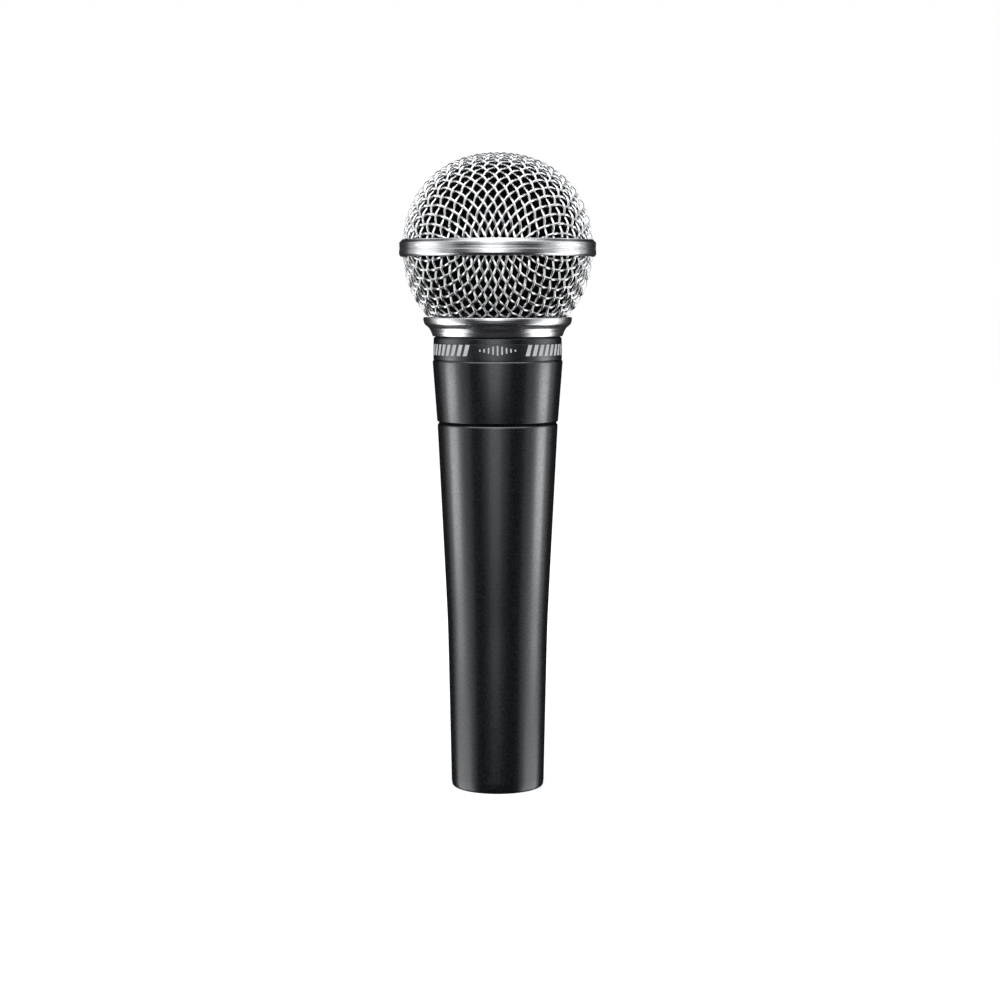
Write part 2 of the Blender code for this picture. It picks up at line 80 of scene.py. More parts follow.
class Nodes:
    """Short names for building one material's node tree."""

    def __init__(self, name, colour, roughness, metallic=0.0, **sockets):
        self.material = bpy.data.materials.new(name)
        self.material.use_nodes = True
        self.tree = self.material.node_tree
        self.shader = self.tree.nodes["Principled BSDF"]
        self.shader.inputs["Base Color"].default_value = (*colour, 1.0)
        self.shader.inputs["Roughness"].default_value = roughness
        self.shader.inputs["Metallic"].default_value = metallic
        for socket, value in sockets.items():
            self.shader.inputs[socket.replace("_", " ")].default_value = value

    def add(self, kind, **settings):
        """A node; a setting with a capital letter is one of its sockets."""
        node = self.tree.nodes.new(kind)
        for name, value in settings.items():
            if name[0].isupper():
                node.inputs[name].default_value = value
            else:
                setattr(node, name, value)
        return node

    def link(self, source, target):
        self.tree.links.new(source, target)

    def object_coords(self, stretch=(1, 1, 1)):
        """Places on the object, in metres, so that a pattern stays on it as it moves."""
        coords = self.add("ShaderNodeTexCoord")
        mapping = self.add("ShaderNodeMapping", Scale=stretch)
        self.link(coords.outputs["Object"], mapping.inputs["Vector"])
        return mapping.outputs["Vector"]

    def noise(self, scale, detail=3.0, stretch=(1, 1, 1)):
        """Cloudy variation, with about so many clouds to a metre."""
        noise = self.add("ShaderNodeTexNoise", Scale=scale, Detail=detail)
        self.link(self.object_coords(stretch), noise.inputs["Vector"])
        return noise.outputs["Fac"]

    def cells(self, scale):
        """Distance from the nearest of scattered points: pores, or threads that stand up."""
        cells = self.add("ShaderNodeTexVoronoi", Scale=scale)
        self.link(self.object_coords(), cells.inputs["Vector"])
        return cells.outputs["Distance"]

    def bands(self, scale, direction, distortion):
        """Stripes across an axis, slightly uneven."""
        wave = self.add("ShaderNodeTexWave", Scale=scale, Distortion=distortion, bands_direction=direction)
        self.link(self.object_coords(), wave.inputs["Vector"])
        return wave.outputs["Fac"]

    def ramp(self, factor, low, high, start=0.35, stop=0.65):
        """Blends two greys or colours between two values of a factor."""
        ramp = self.add("ShaderNodeValToRGB")
        self.link(factor, ramp.inputs["Fac"])
        for element, position, value in zip(ramp.color_ramp.elements, (start, stop), (low, high)):
            element.position = position
            element.color = (*value, 1.0) if isinstance(value, tuple) else (value, value, value, 1.0)
        return ramp.outputs["Color"]

    def bump(self, height, strength, distance):
        """Adds relief, distance in mm, on top of any that is there."""
        bump = self.add("ShaderNodeBump", Strength=strength, Distance=distance * MM)
        self.link(height, bump.inputs["Height"])
        for link in self.shader.inputs["Normal"].links:
            self.link(link.from_socket, bump.inputs["Normal"])
        self.link(bump.outputs["Normal"], self.shader.inputs["Normal"])

    def colour(self, source):
        """Lets a pattern set the colour."""
        self.link(source, self.shader.inputs["Base Color"])

    def roughness(self, source):
        """Lets a pattern set the roughness."""
        self.link(source, self.shader.inputs["Roughness"])


def enamel(name, roughness, grain):
    """Stoved enamel: nearly black, with a fine powdery grain."""
    m = Nodes(name, (0.0025, 0.0027, 0.0031), roughness, Specular_IOR_Level=0.97,
              Specular_Tint=(0.9, 0.95, 1.0, 1))
    m.colour(m.ramp(m.noise(900, 4), (0.0016, 0.0018, 0.0021), (0.0036, 0.0038, 0.0043)))
    m.roughness(m.ramp(m.noise(1500, 4), roughness - 0.02, roughness + 0.03))
    m.bump(m.noise(2600, 2), grain, 0.05)
    return m.material


def turned_metal(name, colour, smooth, dull, lines):
    """Lathe-turned metal, its tint a little uneven: fine rings about Z spread its highlights up and down."""
    m = Nodes(name, colour, smooth, 1.0, Anisotropic=0.35, Anisotropic_Rotation=0.25)
    rings = m.noise(1.0, 6, (3, 3, 5200))
    m.roughness(m.ramp(rings, smooth, dull))
    around = m.add("ShaderNodeTangent", direction_type="RADIAL", axis="Z")
    m.link(around.outputs["Tangent"], m.shader.inputs["Tangent"])
    m.bump(rings, lines, 0.04)
    m.colour(m.ramp(m.noise(90, 3), colour, tuple(min(1.0, c * 1.07) for c in colour)))
    return m.material


def drawn_wire():
    """Bright drawn wire, a little duller in patches."""
    m = Nodes("bright_wire", (0.885, 0.895, 0.91), 0.22, 1.0)
    m.roughness(m.ramp(m.noise(500, 3), 0.18, 0.28))
    m.colour(m.ramp(m.noise(260, 3), (0.825, 0.835, 0.85), (0.925, 0.935, 0.945)))
    return m.material


def moulded(name, colour, roughness, grain=0.1, **sockets):
    """Moulded plastic or rubber with a light grain and a little colour variation."""
    m = Nodes(name, colour, roughness, **sockets)
    m.colour(m.ramp(m.noise(220, 3), tuple(c * 0.82 for c in colour), colour))
    m.roughness(m.ramp(m.noise(400, 3), roughness * 0.9, min(1.0, roughness * 1.1)))
    m.bump(m.noise(1500, 3), grain, 0.1)
    return m.material


def open_cell_foam():
    """Dark, dull foam with pores, painted darker in their hollows as shade."""
    m = Nodes("open_cell_foam", (0.002, 0.002, 0.0022), 1.0, Specular_IOR_Level=0.05)
    pores = m.cells(1100)
    # darker towards the middle of each pore: painted shade in its hollow
    m.colour(m.ramp(pores, (0.0004, 0.0004, 0.0004), (0.003, 0.003, 0.0032), 0.1, 0.7))
    m.bump(pores, 0.8, 0.4)
    return m.material


def woven(name, colour, pitch):
    """Felt, silk or fibre board: threads pitch mm apart, with painted highlight where they stand up and
    shade between.
    """
    m = Nodes(name, colour, 0.95)
    threads = m.cells(1 / (pitch * MM))
    # lighter near each thread and darker between threads: painted highlight and painted shade
    m.colour(m.ramp(threads, colour, tuple(c * 0.45 for c in colour), 0.2, 0.75))
    m.bump(threads, 0.6, pitch / 3)
    return m.material


def enamelled_copper():
    """Magnet wire, laid in turns up the coil, with painted shade between the turns and painted sheen on
    them.
    """
    m = Nodes("enamelled_copper", (0.62, 0.27, 0.13), 0.3, 0.9)
    turns = m.bands(1400, "Z", 0.6)
    # dark stripes are painted shade between the turns, light stripes painted sheen on them
    m.colour(m.ramp(turns, (0.35, 0.13, 0.06), (0.75, 0.34, 0.17), 0.1, 0.8))
    m.bump(turns, 0.7, 0.1)
    return m.material


def laminated():
    """Stacked iron sheets: thin dark lines across Y."""
    m = Nodes("laminated_iron", (0.2, 0.2, 0.21), 0.5, 0.8)
    sheets = m.bands(500, "Y", 0.1)
    m.colour(m.ramp(sheets, (0.05, 0.05, 0.05), (0.26, 0.26, 0.27), 0.1, 0.4))
    m.bump(sheets, 0.4, 0.1)
    return m.material


def make_materials():
    """Every finish, by the name that the pieces use."""
    return {
        "enamel": enamel("stoved_enamel", 0.25, 0.05),
        "band": enamel("band_enamel", 0.3, 0.05),
        "nickel": turned_metal("satin_nickel", (0.73, 0.74, 0.76), 0.235, 0.285, 0.03),
        "steel": turned_metal("turned_steel", (0.58, 0.58, 0.6), 0.28, 0.4, 0.2),
        "silver_plate": turned_metal("silver_plate", (0.86, 0.85, 0.82), 0.14, 0.24, 0.1),
        "wire_cloth": drawn_wire(),
        "ink": moulded("grey_ink", (0.36, 0.365, 0.38), 0.55, 0.15),
        "foam": open_cell_foam(),
        # near-black and dull: painted shade for the rings in the gaps under the head and under the collar
        "washer": moulded("seam_shade_black", (0.001, 0.001, 0.001), 0.95, 0.05, Specular_IOR_Level=0.1),
        "rubber": moulded("soft_rubber", (0.014, 0.014, 0.014), 0.62, 0.3),
        "nylon": moulded("moulded_nylon", (0.02, 0.02, 0.022), 0.42, 0.12),
        "core": laminated(),
        "copper": enamelled_copper(),
        "board": woven("phenolic_board", (0.3, 0.17, 0.07), 0.6),
        "felt": woven("damping_cloth", (0.3, 0.3, 0.28), 0.45),
        "film": moulded("polyester_film", (0.7, 0.62, 0.42), 0.2, 0.05),
        "solder": moulded("solder", (0.5, 0.5, 0.52), 0.3, 0.2),
        "yellow_wire": moulded("yellow_pvc", (0.75, 0.52, 0.04), 0.4),
        "green_wire": moulded("green_pvc", (0.03, 0.27, 0.08), 0.4),
        "red_wire": moulded("red_pvc", (0.5, 0.025, 0.02), 0.4),
        "black_wire": moulded("black_pvc", (0.015, 0.015, 0.015), 0.4),
    }


# ---------------------------------------------------------------- meshes

def new_mesh(name, verts, faces):
    """A mesh from vertices in mm and blocks of faces, each block with its own number of corners."""
    blocks = [np.asarray(block) for block in faces if len(block)]
    corners = np.concatenate([block.ravel() for block in blocks])
    sizes = np.concatenate([np.full(len(block), block.shape[1]) for block in blocks])
    mesh = bpy.data.meshes.new(name)
    mesh.vertices.add(len(verts))
    mesh.vertices.foreach_set("co", (np.asarray(verts, float) * MM).ravel())
    mesh.loops.add(len(corners))
    mesh.loops.foreach_set("vertex_index", corners)
    mesh.polygons.add(len(sizes))
    mesh.polygons.foreach_set("loop_start", np.cumsum(sizes) - sizes)
    mesh.update(calc_edges=True)
    mesh.validate()
    return mesh


def shade(mesh, sharp):
    """Smooth shading, except across edges steeper than so many degrees."""
    mesh.shade_smooth()
    if sharp is not None:
        mesh.set_sharp_from_angle(angle=math.radians(sharp))


def piece(name, shape, look, body, *nodes, sharp=SHARP):
    """An object from a shape (verts, faces), with its finish, its body and the CAD nodes it stands for.

    Its body is None if it bends between two bodies.
    """
    mesh = new_mesh(name, *shape)
    shade(mesh, sharp)
    mesh.materials.append(materials[look])
    obj = bpy.data.objects.new(name, mesh)
    bpy.context.scene.collection.objects.link(obj)
    if body:
        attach(obj, body)
    if nodes:
        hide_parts(*nodes)
    return obj


def join(*shapes):
    """One shape from several."""
    verts, faces, start = [], [], 0
    for some, blocks in shapes:
        verts.append(np.asarray(some, float))
        faces += [np.asarray(block) + start for block in blocks if len(block)]
        start += len(some)
    return np.concatenate(verts), faces


def moved(shape, x=0.0, y=0.0, z=0.0):
    """A shape shifted in mm."""
    return np.asarray(shape[0]) + (x, y, z), shape[1]


def between(rows):
    """Quads between successive closed rows of vertex numbers."""
    low, high = rows[:-1], rows[1:]
    quads = [low, np.roll(low, -1, 1), np.roll(high, -1, 1), high]
    return np.stack(quads, axis=-1).reshape(-1, 4)


def rounded(corners, segments=6):
    """Outline points from (r, z, fillet) corners: each corner with a fillet becomes an arc."""
    points = []
    count = len(corners)
    for k, (r, z, fillet) in enumerate(corners):
        here = Vector((r, z))
        if not fillet:
            points.append((r, z))
            continue
        before, after = Vector(corners[k - 1][:2]), Vector(corners[(k + 1) % count][:2])
        a, b = (before - here).normalized(), (after - here).normalized()
        half = a.angle(b) / 2
        reach = min(fillet / math.tan(half), (before - here).length * 0.49, (after - here).length * 0.49)
        centre = here + (a + b).normalized() * (reach / math.cos(half))
        start, stop = here + a * reach - centre, here + b * reach - centre
        sweep = math.atan2(start.x * stop.y - start.y * stop.x, start.dot(stop))
        for s in range(segments + 1):
            spot = centre + Matrix.Rotation(sweep * s / segments, 2) @ start
            points.append((spot.x, spot.y))
    return points


def turned(outline, steps=MEDIUM):
    """The shape of an outline of (r, z) turned about Z.

    The outline closes on itself, unless it starts and ends on the axis.
    """
    outline = np.asarray(outline, float)
    after = np.roll(outline, -1, 0)
    if (outline[:, 0] * after[:, 1] - after[:, 0] * outline[:, 1]).sum() < 0:
        outline = outline[::-1]
    count = len(outline)
    on_axis = outline[:, 0] == 0
    angles = 2 * math.pi * np.arange(steps) / steps
    verts = np.empty((count, steps, 3))
    verts[:, :, 0] = outline[:, :1] * np.cos(angles)
    verts[:, :, 1] = outline[:, :1] * np.sin(angles)
    verts[:, :, 2] = outline[:, 1:]
    index = np.arange(count * steps).reshape(count, steps)
    index[on_axis] = index[on_axis, :1]
    used, index = np.unique(index, return_inverse=True)
    index = index.reshape(count, steps)
    quads, triangles = [], []
    for k in range(count - (on_axis[0] and on_axis[-1])):
        m = (k + 1) % count
        strip = between(index[[k, m]])
        if on_axis[k]:
            triangles.append(strip[:, 1:])
        elif on_axis[m]:
            triangles.append(strip[:, :3])
        else:
            quads.append(strip)
    faces = [np.concatenate(block) for block in (quads, triangles) if block]
    return verts.reshape(-1, 3)[used], faces


def solid_outline(corners):
    """A rounded outline that starts and ends exactly on the axis."""
    return [corners[0][:2]] + rounded(corners)[1:-1] + [corners[-1][:2]]


def disc(r, z0, z1, edge=0.1, steps=MEDIUM):
    """A solid disc between two heights, with its edges rounded."""
    return turned(solid_outline([(0, z0, 0), (r, z0, edge), (r, z1, edge), (0, z1, 0)]), steps)


def pipe(r0, r1, z0, z1, edge=0.1, steps=MEDIUM):
    """A tube between two radii and two heights, with its edges rounded."""
    return turned(rounded([(r0, z0, edge), (r1, z0, edge), (r1, z1, edge), (r0, z1, edge)], 3), steps)


def swept(points, ups, radius, sides):
    """A round tube along points, with flat ends; ups are the directions its first side faces."""
    points, ups = np.asarray(points, float), np.asarray(ups, float)
    along = np.gradient(points, axis=0)
    across = np.cross(along, ups)
    across /= np.linalg.norm(across, axis=1)[:, None]
    lifted = np.cross(across, along)
    lifted /= np.linalg.norm(lifted, axis=1)[:, None]
    turns = 2 * math.pi * np.arange(sides) / sides
    ring = lifted[:, None] * np.cos(turns)[None, :, None] + across[:, None] * np.sin(turns)[None, :, None]
    rows = np.arange(len(points) * sides).reshape(len(points), sides)
    verts = (points[:, None] + radius * ring).reshape(-1, 3)
    return verts, [between(rows), rows[:1, ::-1], rows[-1:]]


def thread(r_root, r_crest, z0, z1, phase=0.0, steps=MEDIUM):
    """One helical ridge that fades out over an eighth of its length at both ends.

    It is a female thread if its crest is inside its root.
    """
    turns = (z1 - z0) / THREAD_LEAD
    count = int(turns * steps) + 1
    share = np.linspace(0, 1, count)
    angle = 2 * math.pi * turns * share + phase
    height = (r_crest - r_root) * np.clip(8 * np.minimum(share, 1 - share), 0, 1)
    half = THREAD_LEAD * 0.36
    sunk = np.full(count, r_root + (r_root - r_crest) * 0.25)
    crest = r_root + height
    profile = [(sunk, -half), (crest, -half * 0.3), (crest, half * 0.3), (sunk, half)]
    z = z0 + (z1 - z0) * share
    verts = np.stack([np.stack([r * np.cos(angle), r * np.sin(angle), z + dz], 1) for r, dz in profile], 1)
    rows = np.arange(count * 4).reshape(count, 4)
    if r_crest > r_root:
        rows = rows[:, ::-1]
    return verts.reshape(-1, 3), [between(rows), rows[:1, ::-1], rows[-1:]]


def block(low, high, turn=0.0, centre=(0, 0)):
    """A box between two corners, turned by degrees about Z at a centre."""
    c, s = math.cos(math.radians(turn)), math.sin(math.radians(turn))
    verts = [(x * c - y * s + centre[0], x * s + y * c + centre[1], z)
             for x in (low[0], high[0]) for y in (low[1], high[1]) for z in (low[2], high[2])]
    return verts, [[(0, 1, 3, 2), (4, 6, 7, 5), (0, 4, 5, 1), (2, 3, 7, 6), (0, 2, 6, 4), (1, 5, 7, 3)]]


def rod(base, axis, length, radius, steps=COARSE):
    """A cylinder from a base point along an axis."""
    up = np.cross(axis, (1, 0, 0) if abs(axis[0]) < 0.9 else (0, 1, 0))
    points = [np.asarray(base) + np.asarray(axis) * length * k for k in (0, 0.5, 1)]
    return swept(points, [up] * 3, radius, steps)


def cut(obj, *shapes):
    """Cuts closed shapes out of a piece and keeps only the result."""
    verts, faces = join(*shapes)
    cutter = bpy.data.objects.new("cutter", new_mesh("cutter", verts, faces))
    bpy.context.scene.collection.objects.link(cutter)
    bm = bmesh.new()
    bm.from_mesh(cutter.data)
    bmesh.ops.recalc_face_normals(bm, faces=bm.faces[:])
    bm.to_mesh(cutter.data)
    bm.free()
    modifier = obj.modifiers.new("cut", "BOOLEAN")
    modifier.object = cutter
    modifier.solver = "EXACT"
    apply_modifiers(obj)
    bpy.data.objects.remove(cutter, do_unlink=True)


def apply_modifiers(obj):
    """Puts the result of a piece's modifiers in its mesh, without the slivers that a cut leaves."""
    bpy.context.view_layer.update()
    evaluated = obj.evaluated_get(bpy.context.evaluated_depsgraph_get())
    obj.data = bpy.data.meshes.new_from_object(evaluated)
    obj.modifiers.clear()
    bm = bmesh.new()
    bm.from_mesh(obj.data)
    bmesh.ops.dissolve_degenerate(bm, dist=SLIVER * MM, edges=bm.edges[:])
    bm.to_mesh(obj.data)
    bm.free()
    shade(obj.data, SHARP)


def soften(obj, width, steepest=40):
    """Rounds by width mm a piece's edges that turn by more than so many degrees."""
    bevel = obj.modifiers.new("bevel", "BEVEL")
    bevel.width = width * MM
    bevel.segments = 3
    bevel.limit_method = "ANGLE"
    bevel.angle_limit = math.radians(steepest)
    apply_modifiers(obj)


# ---------------------------------------------------------------- grille

RING_R, RING_FOOT, RING_TOP = span("grille_ring")
BALL_Z = (RING_FOOT + RING_TOP) / 2
WIRE_R = 0.35
CRIMP = 0.35  # how far a wire swings in and out of the middle of the cloth
CLOTH_PITCH = 2.4
CLOTH_TURN = 42  # degrees from the wires' directions to X and Y
BALL_R, BOWL_H = 23.5, 23.9  # middle of the cloth: at the ring, and below it
DOME_H = span("grille_dome")[2] - WIRE_R - CRIMP - BALL_Z
BALL_POWER = 2.15  # 2 would be an ellipse
SPACING = 6  # points along a wire from one crossing to the next
WIRE_SIDES = 10
NET_REACH = 97  # degrees from the pole, a little past the ring, that the net of wires has to cover
BEHIND_RING = 0.7  # the wires end this far above and below the middle of the ring


def ball_reach(directions):
    """Distance from the ball's centre to the middle of the cloth, along unit vectors."""
    flat = np.hypot(directions[:, 0], directions[:, 1])
    height = np.where(directions[:, 2] > 0, DOME_H, BOWL_H)
    share = (flat / BALL_R) ** BALL_POWER + (np.abs(directions[:, 2]) / height) ** BALL_POWER
    return share ** (-1 / BALL_POWER)


def cloth_net(step, reach):
    """Knots of square cloth pressed over a sphere from its pole, as {(i, j): unit vector}.

    Two wires cross at the pole, and every further knot is one step from its two neighbours,
    so the squares shear into tall diamonds between the two wires, as pressed wire cloth does.
    """
    knots = {}
    count = math.ceil(reach / step) + 1
    for i in range(count + 1):
        along = Vector((math.sin(i * step), 0, math.cos(i * step)))
        knots[i, 0], knots[0, i] = along, Vector((0, along.x, along.z))
    for i in range(1, count + 1):
        for j in range(1, count + 1):
            if (i - 1, j) not in knots or (i, j - 1) not in knots:
                continue
            a, b = knots[i, j - 1], knots[i - 1, j]
            middle, across = (a + b) * (math.cos(step) / (1 + a.dot(b))), a.cross(b)
            rest = 1 - middle.length_squared
            if rest <= 0 or across.length < 1e-6:
                continue
            offset = across * (math.sqrt(rest) / across.length)
            knots[i, j] = min((middle + offset, middle - offset), key=knots[i - 1, j - 1].dot)
    for (i, j), knot in list(knots.items()):
        for si, sj in ((-1, 1), (1, -1), (-1, -1)):
            knots[si * i, sj * j] = Vector((si * knot.x, sj * knot.y, knot.z))
    return knots


def spline_through(knots, per_span):
    """Catmull-Rom points through knots, and the parameter along them in spans."""
    knots = np.asarray(knots)
    ends = np.vstack([2 * knots[0] - knots[1], knots, 2 * knots[-1] - knots[-2]])
    count = len(knots) - 1
    places = np.linspace(0, count, count * per_span + 1)
    start = np.minimum(places.astype(int), count - 1)
    t = (places - start)[:, None]
    p0, p1, p2, p3 = (ends[start + k] for k in range(4))
    points = 0.5 * (2 * p1 + (p2 - p0) * t + (2 * p0 - 5 * p1 + 4 * p2 - p3) * t ** 2
                    + (3 * p1 - p0 - 3 * p2 + p3) * t ** 3)
    return points, places


def runs_inside(inside):
    """(start, stop) of each unbroken run of True."""
    edges = np.flatnonzero(np.diff(np.concatenate([[0], inside.astype(int), [0]])))
    return zip(edges[::2], edges[1::2])


def cloth_wires(upside, z_low, z_high):
    """Every wire of one half, woven over and under, kept between two heights."""
    turn = Matrix.Rotation(math.radians(CLOTH_TURN), 3, "Z")
    lines = {}
    for (i, j), knot in cloth_net(CLOTH_PITCH / BALL_R, math.radians(NET_REACH)).items():
        unit = turn @ knot
        unit.z *= upside
        lines.setdefault(("i", i), []).append((j, (i + j) % 2, unit))
        lines.setdefault(("j", j), []).append((i, (i + j + 1) % 2, unit))
    wires = []
    for key in sorted(lines):
        wire = sorted(lines[key], key=lambda knot: knot[0])
        if len(wire) < 3:
            continue
        units, places = spline_through([tuple(unit) for _, _, unit in wire], SPACING)
        units /= np.linalg.norm(units, axis=1)[:, None]
        swing = CRIMP * np.cos(math.pi * (places + wire[0][1]))
        points = units * (ball_reach(units) + swing)[:, None] + (0, 0, BALL_Z)
        inside = (points[:, 2] > z_low) & (points[:, 2] < z_high)
        for start, stop in runs_inside(inside):
            if stop - start > 3:
                wires.append(swept(points[start:stop], units[start:stop], WIRE_R, WIRE_SIDES))
    return join(*wires)


def make_cloth():
    """Both halves of the ball: the dome above the ring and the bowl below it."""
    dome = cloth_wires(1, BALL_Z + BEHIND_RING, BALL_Z + BALL_R + 2)
    piece("dome_cloth", dome, "wire_cloth", "grille", "grille_dome", sharp=None)
    bowl = cloth_wires(-1, span("grille_bowl")[1], BALL_Z - BEHIND_RING)
    piece("bowl_cloth", bowl, "wire_cloth", "grille", "grille_bowl", sharp=None)


def make_ring():
    """Rolled band: a bevelled shoulder, two fine grooves and a lower bead, with a web between the halves."""
    r, z0, z1 = RING_R, RING_FOOT, RING_TOP
    inner = r - 0.65
    web_r, web = inner - 1.25, 0.2
    shoulder = [(inner, z1, 0.12), (r - 0.8, z1, 0.15), (r - 0.04, z1 - 0.8, 0.3),
                (r - 0.02, z1 - 1.08, 0.05)]
    upper_groove = [(r - 0.15, z1 - 1.16, 0), (r - 0.15, z1 - 1.26, 0), (r - 0.03, z1 - 1.34, 0.05)]
    belt = [(r - 0.12, z1 - 1.8, 0.8), (r - 0.08, z1 - 2.3, 0.1)]
    lower_groove = [(r - 0.2, z1 - 2.4, 0), (r - 0.2, z1 - 2.48, 0), (r - 0.03, z1 - 2.6, 0.12)]
    bead = [(r, z0 + 0.55, 0.8), (r - 0.4, z0, 0.3), (inner, z0, 0.1)]
    inside = [(inner, BALL_Z - web, 0), (web_r, BALL_Z - web, 0.1), (web_r, BALL_Z + web, 0.1),
              (inner, BALL_Z + web, 0)]
    outline = rounded(shoulder + upper_groove + belt + lower_groove + bead + inside)
    piece("ring_band", turned(outline, FINE), "nickel", "grille", "grille_ring")


def make_collar():
    """Flared collar: a rolled rim over a waist and a short skirt, threaded inside."""
    r, z0, z1 = span("grille_collar")
    bore = 14.85
    rim = [(r - 0.02, z1, 0.25), (r + 0.03, z1 - 0.65, 0.8), (r - 0.2, z1 - 1.72, 1.3)]
    waist = [(r - 1.43, z1 - 2.76, 0.5), (r - 1.97, z1 - 3.75, 1.2)]
    skirt = [(r - 2.32, z0 + 0.12, 0.12), (r - 2.45, z0, 0.1), (bore, z0, 0.2), (bore, z1, 0.1)]
    trough0, trough1, trough_z = 15.6, r - 0.62, z1 - 1.1  # the edge of the cloth sits in this trough
    trough = [(trough0, z1, 0.1), (trough0, trough_z, 0.1), (trough1, trough_z, 0.1)]
    outline = rounded([(trough1, z1, 0.1)] + rim + waist + skirt + trough)
    piece("collar_shell", turned(outline, FINE), "nickel", "grille", "grille_collar")
    piece("collar_thread", thread(bore, bore - 0.36, z0 + 0.7, z1 - 0.9, math.pi), "nickel", "grille")


def make_foam():
    """Foam bag inside the cloth, with a slightly uneven skin."""
    inset, thick = 1.7, 2.3
    mouth_z, mouth_inner, mouth_outer = span("foam_liner")[1], 14.2, 16.4
    sweep = np.radians(np.linspace(0, 150, 61))
    units = np.stack([np.sin(sweep), 0 * sweep, np.cos(sweep)], 1)
    skins = []
    for depth in (inset, inset + thick):
        reach = ball_reach(units) - depth
        skin = np.stack([reach * units[:, 0], BALL_Z + reach * units[:, 2]], 1)
        skins.append([tuple(point) for point in skin if point[1] > mouth_z + 1.2])
    outline = skins[0] + [(mouth_outer, mouth_z), (mouth_inner, mouth_z)] + skins[1][::-1]
    verts, faces = turned(outline, 144)
    verts[:, :2] *= 1 + np.random.default_rng(7).normal(0, 0.003, len(verts))[:, None]
    bag = piece("foam_bag", (verts, faces), "foam", "grille_lining", "foam_liner", sharp=None)


# ---------------------------------------------------------------- handle

KNEE_Z, KNEE_R, HANDLE_FOOT_R = 42.5, 12.82, 11.92
HANDLE_TOP = span("handle_body")[2]
HANDLE_TOP_R = span("handle_body")[0]
HANDLE_WALL = 1.8
SOCKET_R, SOCKET_DEPTH = 8.1, 15.2  # the plug goes in here
SEAT_R, SEAT_TOP = 9.1, 24.0  # the inlet's insert sits here
CUP_R, CUP_FLOOR = 14.05, 84.5  # the head's spigot goes in here


def handle_radius(z):
    """The lower and upper cones, rounded into each other at the knee."""
    lower = HANDLE_FOOT_R + (KNEE_R - HANDLE_FOOT_R) * z / KNEE_Z
    upper = KNEE_R + (HANDLE_TOP_R - KNEE_R) * (z - KNEE_Z) / (HANDLE_TOP - KNEE_Z)
    return (lower + upper) / 2 + math.hypot((lower - upper) / 2, 0.06)


def make_handle():
    """Tapered shell with a cup for the head's spigot, a socket with a keyway, and a hole for the screw."""
    foot = [(11.0, 0.0, 0.25), (handle_radius(0) - 0.12, 0.3, 0.8)]
    side = [(handle_radius(z), z, 0) for z in np.linspace(1.6, HANDLE_TOP - 0.9, 60)]
    rim_z = HANDLE_TOP + 0.3
    rim = [(HANDLE_TOP_R, HANDLE_TOP - 0.02, 0.05), (HANDLE_TOP_R - 0.17, rim_z, 0.05)]
    cup = [(CUP_R, rim_z, 0.15), (CUP_R, CUP_FLOOR, 0)]
    inside = [(handle_radius(z) - HANDLE_WALL, z, 0) for z in (CUP_FLOOR - 1.2, 62, KNEE_Z, SEAT_TOP + 1.5)]
    seat = [(SEAT_R, SEAT_TOP, 0), (SEAT_R, SOCKET_DEPTH, 0)]
    socket = [(SOCKET_R, SOCKET_DEPTH, 0), (SOCKET_R, 0.0, 0.35)]
    outline = rounded(foot + side + rim + cup + inside + seat + socket)
    shell = piece("handle_shell", turned(outline, FINE), "enamel", "handle", "handle_body")
    keyway = block((-1.6, 7.0, -1), (1.6, 9.0, 10))
    cut(shell, keyway, rod((0, 8, SCREW_Z), (0, 1, 0), 6, 1.55))
    female = thread(CUP_R, CUP_R - 0.37, CUP_FLOOR + 1.1, HANDLE_TOP - 1.2, math.pi)
    piece("handle_thread", female, "enamel", "handle")


PIN_ANGLES = {"connector_pin_1": 135, "connector_pin_2": 45, "connector_pin_3": 270}
PIN_CIRCLE, PIN_R = 4.76, 1.2
PIN_TAIL = span("connector_pin_1")[2]
SCREW_Z = 17.8  # height of the screw that holds the insert


def on_circle(radius, degrees):
    """The x and y of a place on a circle about Z."""
    return radius * math.cos(math.radians(degrees)), radius * math.sin(math.radians(degrees))


def make_insert():
    """Moulded insert of the inlet, with a bore for each pin."""
    r, z0, z1 = span("connector_insert")
    step_r, low = r - 0.9, z0 + 0.35
    face = [(0, low), (2.2, low), (2.35, z0), (step_r, z0), (step_r + 0.1, low)]
    side = [(r - 0.1, low), (r, low + 0.1), (r, z1 - 0.2), (r - 0.2, z1), (0, z1)]
    insert = piece("inlet_insert", turned(face + side), "nylon", "handle", "connector_insert")
    bores = [rod((*on_circle(PIN_CIRCLE, angle), z0 - 1), (0, 0, 1), 8, PIN_R + 0.12)
             for angle in PIN_ANGLES.values()]
    cut(insert, *bores)


def make_pins():
    """Three round-nosed pins with thinner tails to solder the wires to."""
    tip, tail_r = span("connector_pin_1")[1], PIN_R - 0.3
    pin = [(0, tip, 0), (PIN_R, tip, 0.75), (PIN_R, PIN_TAIL - 1.6, 0.1),
           (tail_r, PIN_TAIL - 1.4, 0.1), (tail_r, PIN_TAIL, 0.2), (0, PIN_TAIL, 0)]
    outline = solid_outline(pin)
    for number, (node, angle) in enumerate(PIN_ANGLES.items(), 1):
        x, y = on_circle(PIN_CIRCLE, angle)
        shape = moved(turned(outline, COARSE), x, y)
        piece(f"contact_pin_{number}", shape, "silver_plate", "handle", node)


def make_ground_lug():
    """Strip from pin 1 out to the shell, behind the insert."""
    r, _, top = span("connector_insert")
    angle = PIN_ANGLES["connector_pin_1"]
    z0, z1 = top + 0.3, top + 0.8
    lug = block((PIN_CIRCLE + 1.5, -1.2, z0), (r, 1.2, z1), angle)
    lug = piece("inlet_ground_lug", lug, "silver_plate", "handle", "ground_lug")
    cut(lug, rod((*on_circle(7.6, angle), z0 - 1), (0, 0, 1), 3, 0.5))
    soften(lug, 0.12)


